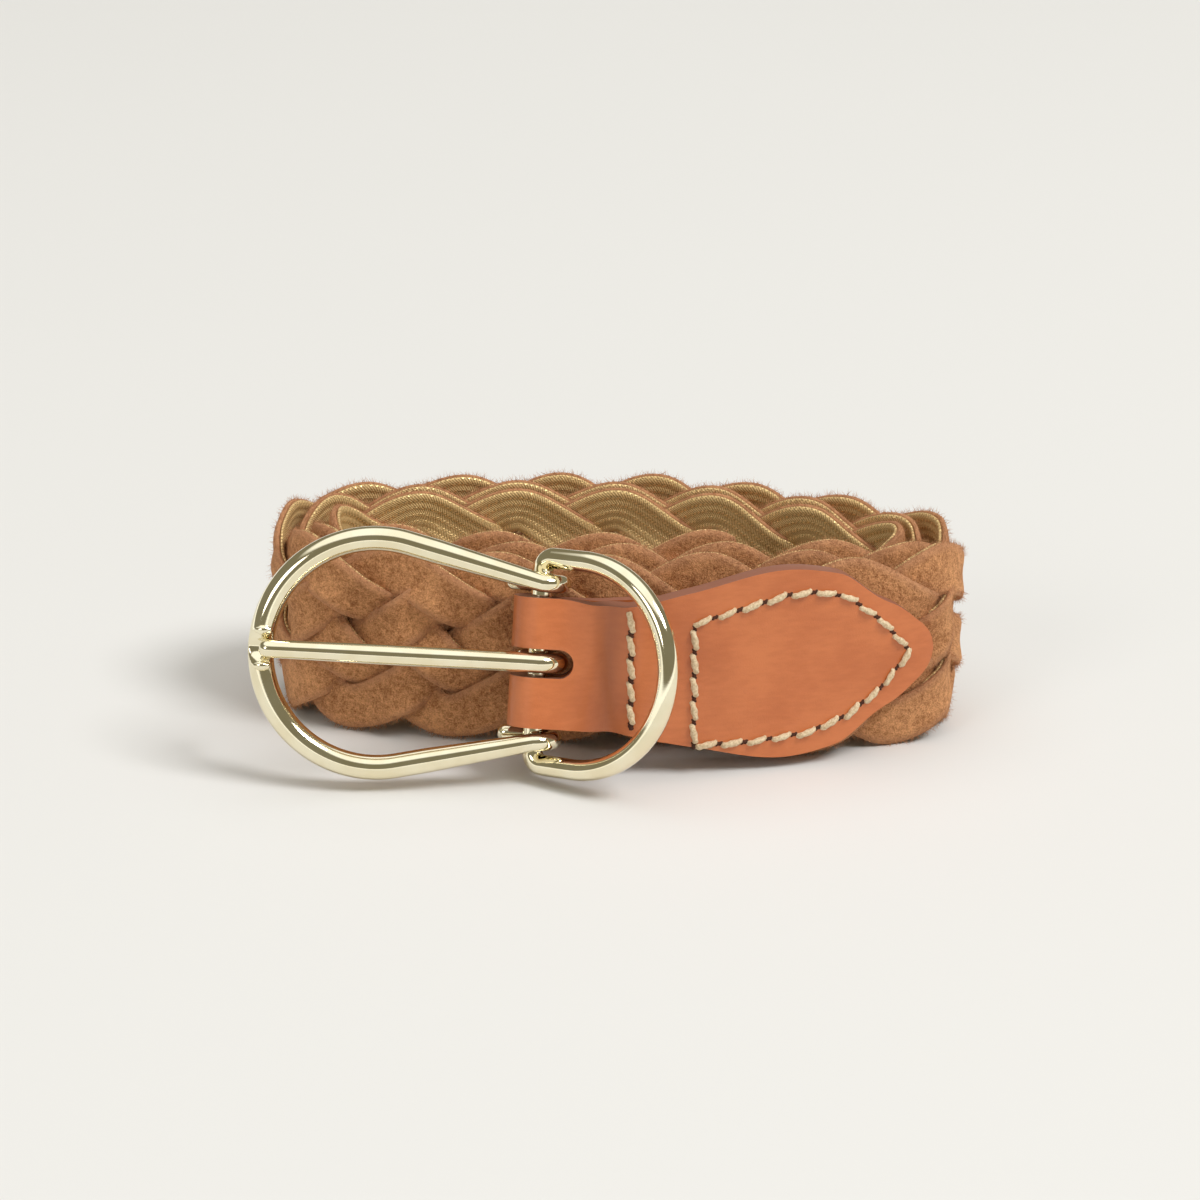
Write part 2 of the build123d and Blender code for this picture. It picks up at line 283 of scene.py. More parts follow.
# %% [markdown]
# ## Suede
# Suede is split hide with a short brushed nap. It has no gloss: the nap gives soft blotches
# where it lies one way or another, fine grain, and a paler rim where light catches the fibres.
# Layered noise gives blotches, grain and nap; sheen and a paler colour painted along each strip's edges, a
# painted highlight, give the rim.

# %% Suede material
def suede_material():
    made, shader, start = new_material("suede", roughness=0.95, Sheen_Weight=0.35, Sheen_Roughness=0.5)
    shader.inputs["Sheen Tint"].default_value = colour(225, 170, 130)
    shader.inputs["Specular IOR Level"].default_value = 0.15
    place = start.node("ShaderNodeTexCoord", out=3)
    blotch = start.node("ShaderNodeTexNoise", Vector=place, Scale=140.0, Detail=3.0, Roughness=0.6)
    nap = start.node("ShaderNodeTexNoise", Vector=place, Scale=1100.0, Detail=4.0, Roughness=0.75)
    grain = start.node("ShaderNodeTexNoise", Vector=place, Scale=3800.0, Detail=2.0, Roughness=0.6)
    tone = blotch * 0.22 + nap * 0.43 + grain * 0.35
    shade = tone.between(0.35, 0.65).mix(colour(134, 84, 49), colour(222, 163, 113))
    rim = start.node("ShaderNodeAttribute", {"attribute_name": "rim"}, out=2)
    # Painted highlight: the strip's edges are mixed towards a paler tan, where light catches the fibres.
    shade = rim.between(0.55, 1.0, 0.0, 0.55).mix(shade, colour(188, 138, 104))
    height = nap * 0.6 + grain * 0.4
    bump = start.node("ShaderNodeBump", Strength=1.0, Distance=0.0005, Height=height)
    feed(start, shader, Base_Color=shade, Normal=bump)
    return made


SUEDE = suede_material()
print("made", SUEDE.name)

# %% [markdown]
# ## Metallic ribbon
# The inner face of each strip is a woven ribbon: khaki cotton over five lengthwise cords, with
# bright metal thread that shows as slanted beads between them. The UV map runs along the strip
# and across it, both in millimetres, so that the weave keeps its scale round every bend.

# %% Ribbon material
def ribbon_material():
    made, shader, start = new_material("metallic_ribbon", roughness=0.6)
    shader.inputs["Specular IOR Level"].default_value = 0.4
    place = start.node("ShaderNodeTexCoord", out=2)
    split = start.node("ShaderNodeSeparateXYZ", Vector=place)
    across = Socket(start.tree, split.socket.node.outputs[1])
    groove = (across * (2 * math.pi / RIB_PITCH)).math("COSINE") * 0.5 + 0.5
    slant = split * (2 * math.pi / 0.62) + across * 5.0
    twist = slant.math("SINE") * 0.5 + 0.5
    weft = ((split * (2 * math.pi / 0.34) - across * 9.0).math("SINE")) * 0.5 + 0.5
    fibre = start.node("ShaderNodeTexNoise", Vector=place, Scale=2.2, Detail=3.0)
    cotton = (weft * 0.6 + fibre * 0.5).between(0.2, 0.9).mix(colour(168, 134, 82), colour(236, 202, 144))
    glint = groove.between(0.5, 0.78) * twist.between(0.35, 0.65)
    glint = glint * fibre.between(0.32, 0.5)
    shade = glint.mix(cotton, colour(250, 218, 155))
    height = weft * 0.35 + glint * 0.7 + (1 - groove) * 0.4
    bump = start.node("ShaderNodeBump", Strength=0.7, Distance=0.0002, Height=height)
    feed(start, shader, Base_Color=shade, Metallic=glint * 0.75, Roughness=0.62 - glint * 0.3, Normal=bump)
    return made


RIB_PITCH = 1.30
RIBBON = ribbon_material()
print("made", RIBBON.name)

# %% [markdown]
# ## The braid
# Five strips cross from edge to edge, each going over one and under the next. A strip's middle
# follows a rounded triangle wave across the width, and every strip is the same wave, a fifth of a
# wave later. At a crossing both strips share one saddle shape, the upper one half a thickness
# above it and the lower one half below. The strips are drawn a little wide to close the gaps,
# so where they cross they also cut into each other. That is a fault of this model, left as it is.
# The shape is a rule, so it is worked out with arrays and written straight into the mesh.

# %% Sizes of the braid
STRANDS = 5
WAVE = 87.0
STRIP_WIDTH = 8.5
LAMINATE = 1.9
SUEDE_SHARE = 0.56
REACH = BELT_WIDTH / 2 - 0.3 - STRIP_WIDTH / 2
STEP = 0.8
BRAID_START, BRAID_END = run_at(BAR_X + 20.0) + 0.4, LENGTH - 1.0
TURN_AT = np.array([-0.1, 0.1, 0.2, 0.3, 0.4, 0.6, 0.7, 0.8, 0.9, 1.1])
ROUNDING = 0.965
print("braid runs for", round(float(BRAID_END - BRAID_START), 1), "mm")


def wave(phase):
    """Rounded triangle wave, 1 at the top edge and -1 at the bottom."""
    return np.arcsin(ROUNDING * np.cos(2 * np.pi * phase)) / math.asin(ROUNDING)


def strand_line(number, run):
    """Height across the strap, slope angle, crossing count and edge closeness at each run."""
    phase = run / WAVE - number / STRANDS
    grow = np.clip((run - BRAID_START) / 24.0, 0, 1)
    grow = 0.66 + 0.34 * grow * grow * (3 - 2 * grow)
    wander = 0.18 * np.sin(run * 0.21 + number * 2.4) + 0.12 * np.sin(run * 0.083 + number)
    height = REACH * grow * wave(phase) + wander
    slope = np.arctan(np.gradient(height, run))
    count = np.interp(phase % 1.0, TURN_AT, np.arange(-1, 9))
    edge = np.abs(wave(phase)) ** 6
    return height, slope, count, edge


def strand_surface(number, across, depth):
    """Points of a strand for lateral places and depths (-1 inner to 1 outer), ring by ring."""
    run = np.arange(BRAID_START, BRAID_END, STEP)
    height, slope, count, edge = strand_line(number, run)
    side = STRIP_WIDTH / 2 * across[None, :] * (1 - 0.04 * np.sin(run * 0.37 + number)[:, None])
    own = count[:, None] - side / math.tan(math.radians(62)) / 10.15 * (1 - edge[:, None])
    other = side / math.sin(math.radians(62)) / 10.15
    over = np.cos(np.pi * own)
    saddle = np.clip(2.2 * over, -1, 1) * np.sin(np.pi * other) ** 2 * (1 - edge[:, None])
    lift = np.sign(over) * over**2 + saddle
    crown = -0.10 * across[None, :] ** 4
    fold_over = -np.sin(np.pi * (count[:, None] % 1))
    roll = 0.55 * edge[:, None] * np.sign(height)[:, None] * across[None, :] * fold_over
    offset = LAMINATE / 2 * (lift * 0.96 + depth[None, :]) + crown + roll
    along = run[:, None] - side * np.sin(slope)[:, None]
    along = np.clip(along, BRAID_START - 2, LENGTH - 0.6)
    level = BELT_WIDTH / 2 + height[:, None] + side * np.cos(slope)[:, None]
    points = on_strap(along, offset, np.clip(level, 0.05, BELT_WIDTH + 0.1))
    travel = np.concatenate([[0], np.cumsum(np.hypot(np.diff(run), np.diff(height)))])
    uvs = np.stack([np.broadcast_to(travel[:, None], side.shape), side], -1)
    return points.reshape(-1, 3), uvs.reshape(-1, 2), len(run)


def section(inner, outer, lobes, lobe_depth, width):
    """Closed outline of a strip in (across, depth), with rounded sides and lobes on its inner face."""
    front = np.linspace(-1, 1, 9)[1:-1]
    outline = [(x * width, outer - 0.06 * x**2) for x in front]
    outline += [(0.985 * width, outer - 0.25 * (outer - inner)), (width, (outer + inner) / 2)]
    outline += [(0.985 * width, inner + 0.22 * (outer - inner))]
    count = lobes * 4 + 1 if lobes else 7
    for x in np.linspace(0.95, -0.95, count):
        phase = 0 if lobes % 2 else math.pi / 2
        ridge = lobe_depth * abs(math.cos(math.pi * (x / 0.95) * lobes / 2 + phase))
        outline.append((x * width, inner - ridge))
    outline += [(-0.985 * width, inner + 0.22 * (outer - inner)), (-width, (outer + inner) / 2)]
    outline += [(-0.985 * width, outer - 0.25 * (outer - inner))]
    return np.array(outline)


# %% Make the strands
def make_strand(number, name, outline, material):
    points, uvs, rings = strand_surface(number, outline[:, 0], outline[:, 1])
    made = outward(mesh_object(name, points, tube_faces(rings, len(outline)), uvs))
    rim = np.tile(np.abs(outline[:, 0]), rings)
    made.data.attributes.new("rim", "FLOAT", "POINT").data.foreach_set("value", rim.astype(np.float32))
    made.data.materials.append(material)
    return made


split_depth = 1 - 2 * SUEDE_SHARE
suede_outline = section(split_depth, 1.0, 0, 0.0, 1.0)
ribbon_outline = section(-0.8, split_depth - 0.02, 5, 0.20, 0.965)
suede_strands, ribbon_strands = [], []
for number in range(STRANDS):
    suede_strands.append(make_strand(number, f"suede_strip_{number + 1}", suede_outline, SUEDE))
    ribbon_strands.append(make_strand(number, f"ribbon_{number + 1}", ribbon_outline, RIBBON))
print("strips", len(suede_strands), "faces each", len(suede_strands[0].data.polygons))

# %% [markdown]
# ## Loose nap on the suede
# The cut edges of suede shed short fibres that break up its outline. Geometry Nodes scatter thin
# tapering fibres along each strip's edges, leaning at random, with a fixed seed.

# %% Fibre tree
def fibre_tree(material):
    tree = bpy.data.node_groups.new("suede_nap", "GeometryNodeTree")
    face = tree.interface
    face.new_socket("Geometry", in_out="INPUT", socket_type="NodeSocketGeometry")
    face.new_socket("Density", in_out="INPUT", socket_type="NodeSocketFloat").default_value = 100000.0
    face.new_socket("Length", in_out="INPUT", socket_type="NodeSocketFloat").default_value = 0.0008
    face.new_socket("Seed", in_out="INPUT", socket_type="NodeSocketInt").default_value = 1
    face.new_socket("Geometry", in_out="OUTPUT", socket_type="NodeSocketGeometry")
    add, link = tree.nodes.new, tree.links.new
    entry, leave = add("NodeGroupInput"), add("NodeGroupOutput")
    rim = add("GeometryNodeInputNamedAttribute")
    rim.data_type = "FLOAT"
    rim.inputs["Name"].default_value = "rim"
    edge = add("ShaderNodeMapRange")
    for index, value in ((1, 0.90), (2, 1.0), (3, 0.0), (4, 1.0)):
        edge.inputs[index].default_value = value
    link(rim.outputs["Attribute"], edge.inputs[0])
    density = add("ShaderNodeMath")
    density.operation = "MULTIPLY"
    link(edge.outputs[0], density.inputs[0])
    link(entry.outputs["Density"], density.inputs[1])
    scatter = add("GeometryNodeDistributePointsOnFaces")
    link(entry.outputs["Geometry"], scatter.inputs["Mesh"])
    link(density.outputs[0], scatter.inputs["Density"])
    link(entry.outputs["Seed"], scatter.inputs["Seed"])
    cone = add("GeometryNodeMeshCone")
    cone.inputs["Vertices"].default_value = 3
    cone.inputs["Radius Bottom"].default_value = 0.03
    cone.inputs["Depth"].default_value = 1.0
    size = add("FunctionNodeRandomValue")
    size.data_type = "FLOAT"
    size.inputs[2].default_value, size.inputs[3].default_value = 0.35, 1.15
    scale = add("ShaderNodeMath")
    scale.operation = "MULTIPLY"
    link(size.outputs[1], scale.inputs[0])
    link(entry.outputs["Length"], scale.inputs[1])
    tilt = add("FunctionNodeRandomValue")
    tilt.data_type = "FLOAT_VECTOR"
    tilt.inputs[0].default_value, tilt.inputs[1].default_value = (-0.9, -0.9, 0), (0.9, 0.9, 6.28)
    place = add("GeometryNodeInstanceOnPoints")
    link(scatter.outputs["Points"], place.inputs["Points"])
    link(cone.outputs["Mesh"], place.inputs["Instance"])
    link(scatter.outputs["Rotation"], place.inputs["Rotation"])
    link(scale.outputs[0], place.inputs["Scale"])
    turn = add("GeometryNodeRotateInstances")
    link(place.outputs[0], turn.inputs["Instances"])
    link(tilt.outputs[0], turn.inputs["Rotation"])
    real = add("GeometryNodeRealizeInstances")
    link(turn.outputs[0], real.inputs[0])
    paint = add("GeometryNodeSetMaterial")
    paint.inputs["Material"].default_value = material
    link(real.outputs[0], paint.inputs["Geometry"])
    link(paint.outputs[0], leave.inputs[0])
    return tree


def set_input(modifier, name, value):
    """Sets a modifier's input by its socket's identifier."""
    for item in modifier.node_group.interface.items_tree:
        if item.item_type == "SOCKET" and item.in_out == "INPUT" and item.name == name:
            modifier[item.identifier] = value


NAP_DENSITY = 1.1e7
NAP_LENGTH = 1.3 * MM
FIBRES = fibre_tree(SUEDE)
naps = []
for number, strand in enumerate(suede_strands):
    nap = bpy.data.objects.new(f"suede_nap_{number + 1}", strand.data.copy())
    bpy.context.collection.objects.link(nap)
    modifier = nap.modifiers.new("fibres", "NODES")
    modifier.node_group = FIBRES
    set_input(modifier, "Density", NAP_DENSITY)
    set_input(modifier, "Length", NAP_LENGTH)
    set_input(modifier, "Seed", 11 + number)
    naps.append(bake_modifiers(nap))
print("fibres in the first strip", len(naps[0].data.polygons) // 4)

# %% [markdown]
# ## Smooth leather
# The chape is vegetable tanned hide: smooth, a little waxy, with fine pores and faint lengthwise
# grain, and darker burnished edges. Noise at three scales gives tone, pores and handling
# marks. Painted shade darkens the crease beside the fold seam, and faintly the fold round the
# bar, set by distance from the bar.

# %% Leather material
def leather_material():
    made, shader, start = new_material("smooth_leather", roughness=0.42, Coat_Roughness=0.35)
    shader.inputs["Coat Weight"].default_value = 0.3
    place = start.node("ShaderNodeTexCoord", out=3)
    stretched = start.node("ShaderNodeMapping", {}, Vector=place, Scale=(330.0, 330.0, 1100.0))
    grain = start.node("ShaderNodeTexNoise", Vector=stretched, Scale=1.0, Detail=4.0, Roughness=0.6)
    blotch = start.node("ShaderNodeTexNoise", Vector=place, Scale=75.0, Detail=3.0)
    pores = start.node("ShaderNodeTexVoronoi", Vector=place, Scale=2600.0)
    tone = blotch * 0.65 + grain * 0.35
    shade = tone.between(0.34, 0.66).mix(colour(188, 101, 50), colour(205, 117, 64))
    marks = start.node("ShaderNodeTexNoise", Vector=place, Scale=420.0, Detail=5.0, Roughness=0.8)
    shade = (marks.between(0.62, 0.75) * 0.35).mix(shade, colour(165, 92, 52))
    edge = start.node("ShaderNodeAttribute", {"attribute_name": "cut_edge"}, out=2)
    # Painted shade: the crease beside the fold seam and, faintly, the fold round the bar are darkened by this
    # attribute.
    crease = start.node("ShaderNodeAttribute", {"attribute_name": "crease"}, out=2)
    shade = crease.mix(shade, colour(142, 78, 42))
    shade = edge.between(0.3, 0.8).mix(shade, colour(146, 92, 70))
    height = pores.between(0.0, 0.5) * 0.4 + grain * 0.15 + marks * 0.25
    bump = start.node("ShaderNodeBump", Strength=0.35, Distance=0.00012, Height=height)
    feed(start, shader, Base_Color=shade, Roughness=0.36 + grain * 0.18 + edge * 0.2, Normal=bump)
    return made


LEATHER = leather_material()
print("made", LEATHER.name)

# %% [markdown]
# ## The buckle's own plane
# The hinge bar leans back and a little to the right. Its place and direction come from the
# joint in the frame, so that every metal piece is drawn in the plane of the buckle and lands
# exactly on the bar.

# %% Bar plane
hinge = next(j for j in frame["record"]["behaviour"]["joints"] if j["name"] == "frame_swing")
BAR_POINT = np.array(hinge["pos_m"], float)
BAR_AXIS = np.array(hinge["axis"], float)
BAR_AXIS /= np.linalg.norm(BAR_AXIS)
along = (on_strap(1.5, 0, 0) - on_strap(0.5, 0, 0)) / MM
along -= BAR_AXIS * along.dot(BAR_AXIS)
BAR_ALONG = along / np.linalg.norm(along)
BAR_BACK = np.cross(BAR_AXIS, BAR_ALONG)


def in_bar(x, y, z):
    """Points in metres from millimetres along the strap, backwards, and up the bar."""
    x, y, z = np.broadcast_arrays(*(np.asarray(v, float) for v in (x, y, z)))
    return BAR_POINT + MM * (x[..., None] * BAR_ALONG + y[..., None] * BAR_BACK + z[..., None] * BAR_AXIS)


print("bar at", BAR_POINT, "axis", BAR_AXIS)

# %% [markdown]
# ## Chape
# One strip of leather runs from the short back leaf, round the hinge bar and along the front to
# the tab's point. It is drawn as a sheet along that route, as high as the tab at each place,
# given its thickness, slotted for the prong, and its edges are rounded.

# %% Chape sheet
LEAF, BACK_LEAF, GAP, BAR_RADIUS, HINGE_GAP, BAR_HEIGHT = 2.7, 1.5, 0.1, 1.75, 0.06, 19.6
FOLD_HALF, TAB_LOW, TAB_HIGH, TAB_TIP = 10.8, 2.2, 35.6, 63.9
tab_middle, tab_half = (TAB_LOW + TAB_HIGH) / 2, (TAB_HIGH - TAB_LOW) / 2
tab_x = TAB_TIP - np.array([TAB_TIP, 57, 51, 39, 24, 15.5, 8.5, 5.0, 2.4, 1.0, 0.3, 0])
tab_z = np.array([FOLD_HALF, FOLD_HALF, FOLD_HALF + 0.4, tab_half - 3.0, tab_half, tab_half - 1.4,
                  tab_half - 6.6, 8.0, 5.6, 3.7, 2.0, 0.12])


def smooth_curve(x, known_x, known_y):
    """Monotone cubic through a few known points."""
    steps = np.diff(known_y) / np.diff(known_x)
    slopes = np.concatenate([[steps[0]], np.where(steps[1:] * steps[:-1] > 0,
        2 * steps[1:] * steps[:-1] / (steps[1:] + steps[:-1] + 1e-9), 0), [steps[-1]]])
    i = np.clip(np.searchsorted(known_x, x) - 1, 0, len(known_x) - 2)
    span = known_x[i + 1] - known_x[i]
    t = np.clip((x - known_x[i]) / span, 0, 1)
    one = (1 + 2 * t) * (1 - t) ** 2 * known_y[i] + t * (1 - t) ** 2 * span * slopes[i]
    return one + t * t * (3 - 2 * t) * known_y[i + 1] + t * t * (t - 1) * span * slopes[i + 1]


def chape_sheet():
    """The strip's outer surface as a grid: route from back leaf, round the fold, to the point."""
    radius = BAR_RADIUS + HINGE_GAP + LEAF
    back_offset, front_offset = -HALF_BRAID - GAP - BACK_LEAF, HALF_BRAID + GAP + LEAF
    back_x = np.arange(29.0, 0.0, -0.8)
    turn = np.linspace(0, math.pi, 22)[1:-1]
    front_x = np.concatenate([np.arange(0.0, 60.0, 0.7), np.linspace(60.0, TAB_TIP - 0.02, 18)])
    fractions = np.sin(np.linspace(-1, 1, 45) * math.pi / 2)
    rows = []

    def row(x, y, offset, half, blend):
        run = run_at(BAR_X + x) if x > 0 else x
        leaned = in_bar(x, y, fractions * half)
        level = tab_middle * blend + BAR_HEIGHT * (1 - blend)
        upright = on_strap(max(run, 0.0), offset, level + fractions * half)
        rows.append(leaned * (1 - blend) + upright * blend)

    def half_at(x):
        return float(smooth_curve(np.array([x]), tab_x, tab_z)[0])

    for x in back_x:
        blend = min(max((x - 3.0) / 11.0, 0), 1)
        blend = blend * blend * (3 - 2 * blend)
        waist = 0.9 * math.exp(-((x - 9.0) / 3.5) ** 2)
        row(x, radius - 0.35 * min(x, 3) - waist, back_offset + waist * 0.6, FOLD_HALF - 0.3, blend)
    for angle in turn:
        row(-radius * math.sin(angle), radius * math.cos(angle), 0, FOLD_HALF, 0)
    for x in front_x:
        blend = min(max((x - 3.0) / 11.0, 0), 1)
        blend = blend * blend * (3 - 2 * blend)
        waist = 1.7 * math.exp(-((x - 11.6) / 2.6) ** 2) + 0.12 * math.exp(-((x - 15.0) / 0.9) ** 2)
        row(x, -radius + waist + 0.12 * min(x, 3), front_offset - waist, half_at(x), blend)
    points = np.array(rows)
    count, wide = points.shape[:2]
    i, j = np.meshgrid(np.arange(count - 1), np.arange(wide - 1), indexing="ij")
    quads = np.stack([i * wide + j, (i + 1) * wide + j, (i + 1) * wide + j + 1, i * wide + j + 1], -1)
    return points.reshape(-1, 3), quads.reshape(-1, 4), len(back_x)


points, quads, back_rows = chape_sheet()
chape = mesh_object("chape_leather", points, quads)
print("chape sheet", len(quads), "quads")

# %% Chape thickness, prong slot and rounded edges
leaf_share = chape.vertex_groups.new(name="leaf")
wide = 45
for index in range(len(points)):
    at = index // wide
    share = 0.55 if at < back_rows - 16 else 0.55 + 0.45 * min((at - back_rows + 16) / 16, 1)
    leaf_share.add([index], share, "REPLACE")
thick = chape.modifiers.new("leaf", "SOLIDIFY")
thick.thickness, thick.offset, thick.use_even_offset = LEAF * MM, -1.0, False
thick.vertex_group = "leaf"
bake_modifiers(chape)
outward(chape)

SLOT_HALF, SLOT_END = 2.4, 5.9
slot_centre = SLOT_END - SLOT_HALF
profile = []
for a in np.linspace(-math.pi / 2, math.pi / 2, 17):
    profile.append((slot_centre + SLOT_HALF * math.cos(a), SLOT_HALF * math.sin(a)))
profile += [(-9.0, SLOT_HALF), (-9.0, -SLOT_HALF)]
ring = np.array([[in_bar(x, depth, z) for x, z in profile] for depth in (-9.0, 9.0)]).reshape(-1, 3)
cutter = outward(mesh_object("slot_cutter", ring, tube_faces(2, len(profile)), smooth=False))
cut = chape.modifiers.new("slot", "BOOLEAN")
cut.object, cut.operation, cut.solver = cutter, "DIFFERENCE", "EXACT"
bake_modifiers(chape)
bpy.data.objects.remove(cutter)
bevel = chape.modifiers.new("edge", "BEVEL")
bevel.width, bevel.segments, bevel.limit_method, bevel.angle_limit = 0.35 * MM, 3, "ANGLE", math.radians(50)
bake_modifiers(chape)
mesh = chape.data
bm = bmesh.new()
bm.from_mesh(mesh)
bm.normal_update()
cut_edge = [float(abs(vertex.normal.z) > 0.6) for vertex in bm.verts]
bm.free()
mesh.attributes.new("cut_edge", "FLOAT", "POINT").data.foreach_set("value", cut_edge)
# Painted shade: how much each point of the chape is darkened, most beside the fold seam and faintly on the
# fold round the bar.
crease = []
for vertex in mesh.vertices:
    x = float((np.array(vertex.co) - BAR_POINT).dot(BAR_ALONG)) / MM
    crease.append(0.55 * math.exp(-((x - 11.8) / 2.0) ** 2) + 0.15 * math.exp(-((x + 4.4) / 1.2) ** 2))
mesh.attributes.new("crease", "FLOAT", "POINT").data.foreach_set("value", crease)
mesh.shade_smooth()
mesh.materials.clear()
mesh.materials.append(LEATHER)
print("chape faces", len(mesh.polygons))

# %% Leather tip on the inner end, two leaves
TIP_HALF = 12.4


def tip_leaf(name, offset, outer):
    straight, nose = np.linspace(LENGTH - 42, LENGTH - 8, 40), np.linspace(LENGTH - 7.5, LENGTH - 0.3, 14)
    runs = np.concatenate([straight, nose])
    rounded = TIP_HALF * np.sqrt(np.clip(1 - ((runs - LENGTH + 8) / 8.2) ** 2, 0.02, 1))
    half = np.where(runs < LENGTH - 8, TIP_HALF, rounded)
    shares = np.linspace(-1, 1, 21)
    grid = np.array([on_strap(run, offset, BELT_WIDTH / 2 + shares * h) for run, h in zip(runs, half)])
    i, j = np.meshgrid(np.arange(len(runs) - 1), np.arange(20), indexing="ij")
    faces = np.stack([i * 21 + j, (i + 1) * 21 + j, (i + 1) * 21 + j + 1, i * 21 + j + 1], -1).reshape(-1, 4)
    made = mesh_object(name, grid.reshape(-1, 3), faces)
    thick = made.modifiers.new("leaf", "SOLIDIFY")
    thick.thickness, thick.offset = 1.3 * MM, (1.0 if outer else -1.0)
    bevel = made.modifiers.new("edge", "BEVEL")
    bevel.width, bevel.segments, bevel.limit_method = 0.3 * MM, 2, "ANGLE"
    bake_modifiers(made)
    outward(made)
    made.data.materials.clear()
    made.data.materials.append(LEATHER)
    return made


tip_out = tip_leaf("tip_outer_leather", HALF_BRAID + GAP, False)
tip_in = tip_leaf("tip_inner_leather", -HALF_BRAID - GAP, True)
print("tip leaves", len(tip_out.data.polygons))

# %% [markdown]
# ## Stitches
# Waxed cream thread is saddle stitched through the leather: short, slightly slanted stitches, each
# diving into a hole at both ends. One stitch is a bent rod, and Geometry Nodes put a copy at each
# point of the seam, turned by an attribute that the seam's own points carry. A short dark rod in
# each hole between the stitches is painted shade.

# %% Thread material and stitch tree
def thread_material():
    made, shader, start = new_material("waxed_thread", roughness=0.7)
    place = start.node("ShaderNodeTexCoord", out=3)
    fibre = start.node("ShaderNodeTexNoise", Vector=place, Scale=2600.0, Detail=3.0)
    shade = fibre.between(0.3, 0.7).mix(colour(196, 170, 132), colour(230, 210, 176))
    bump = start.node("ShaderNodeBump", Strength=0.6, Distance=0.0001, Height=fibre)
    feed(start, shader, Base_Color=shade, Normal=bump)
    return made


# Painted shade: the dark brown of the stitch holes stands for the shade inside each hole.
def hole_shade_material():
    made, shader, start = new_material("stitch_hole_shade", roughness=0.9)
    place = start.node("ShaderNodeTexCoord", out=3)
    fibre = start.node("ShaderNodeTexNoise", Vector=place, Scale=900.0)
    feed(start, shader, Base_Color=fibre.mix(colour(52, 26, 14), colour(84, 44, 24)))
    return made


THREAD, HOLE_SHADE = thread_material(), hole_shade_material()


def stitch_body(name, length, radius, dive, material):
    """A rod along X that arches up and dives at both ends, with two plies twisted round it."""
    t = np.linspace(-1, 1, 13)
    around = np.linspace(0, 2 * np.pi, 9)[:-1]
    rings = []
    for u in t:
        thin = radius * (1 - 0.35 * abs(u) ** 5)
        lobes = 1 + 0.16 * np.cos(2 * (around + u * 3.2))
        rings.append(np.stack([np.full(8, u * length / 2), np.cos(around) * thin * lobes,
                               np.sin(around) * thin * lobes - dive * abs(u) ** 4], -1))
    made = outward(mesh_object(name, np.concatenate(rings) * MM, tube_faces(len(t), 8)))
    made.data.materials.append(material)
    return made


def seam_tree(material):
    tree = bpy.data.node_groups.new("seam", "GeometryNodeTree")
    face = tree.interface
    face.new_socket("Geometry", in_out="INPUT", socket_type="NodeSocketGeometry")
    face.new_socket("Stitch", in_out="INPUT", socket_type="NodeSocketObject")
    face.new_socket("Scale", in_out="INPUT", socket_type="NodeSocketFloat").default_value = 1.0
    face.new_socket("Seed", in_out="INPUT", socket_type="NodeSocketInt").default_value = 3
    face.new_socket("Geometry", in_out="OUTPUT", socket_type="NodeSocketGeometry")
    add, link = tree.nodes.new, tree.links.new
    entry, leave = add("NodeGroupInput"), add("NodeGroupOutput")
    turn = add("GeometryNodeInputNamedAttribute")
    turn.data_type = "FLOAT_VECTOR"
    turn.inputs["Name"].default_value = "turn"
    info = add("GeometryNodeObjectInfo")
    link(entry.outputs["Stitch"], info.inputs["Object"])
    vary = add("FunctionNodeRandomValue")
    vary.inputs[2].default_value, vary.inputs[3].default_value = 0.9, 1.08
    link(entry.outputs["Seed"], vary.inputs["Seed"])
    size = add("ShaderNodeMath")
    size.operation = "MULTIPLY"
    link(vary.outputs[1], size.inputs[0])
    link(entry.outputs["Scale"], size.inputs[1])
    place = add("GeometryNodeInstanceOnPoints")
    link(entry.outputs["Geometry"], place.inputs["Points"])
    link(info.outputs["Geometry"], place.inputs["Instance"])
    link(turn.outputs["Attribute"], place.inputs["Rotation"])
    link(size.outputs[0], place.inputs["Scale"])
    real = add("GeometryNodeRealizeInstances")
    link(place.outputs[0], real.inputs[0])
    paint = add("GeometryNodeSetMaterial")
    paint.inputs["Material"].default_value = material
    link(real.outputs[0], paint.inputs["Geometry"])
    link(paint.outputs[0], leave.inputs[0])
    return tree


STITCH_TREE, HOLE_SHADE_TREE = seam_tree(THREAD), seam_tree(HOLE_SHADE)
thread_rod = stitch_body("thread_rod", 3.6, 0.52, 0.55, THREAD)
hole_rod = stitch_body("hole_rod", 1.35, 0.42, 0.0, HOLE_SHADE)


def seam_points(corners, pitch, offset, phase):
    """Evenly spaced places along a seam of (run, height) corners, each with its turn."""
    corners = np.array(corners, float)
    lengths = np.concatenate([[0], np.cumsum(np.hypot(*np.diff(corners, axis=0).T))])
    count = round(lengths[-1] / pitch)
    at = (np.arange(count) + phase) / count * lengths[-1]

    def at_length(where, level):
        height = np.interp(where, lengths, corners[:, 1])
        return on_strap(np.interp(where, lengths, corners[:, 0]), level, height)

    places = at_length(at, offset)
    forward = at_length(at + 0.4, offset) - at_length(at - 0.4, offset)
    outwards = at_length(at, offset + np.sign(offset)) - places
    turns = []
    for f, n in zip(forward, outwards):
        x, z = Vector(f).normalized(), Vector(n).normalized()
        y = z.cross(x).normalized()
        x = (Matrix.Rotation(math.radians(11), 3, z) @ x).normalized()
        y = z.cross(x).normalized()
        turns.append(Matrix((x, y, z)).transposed().to_euler())
    return places, turns


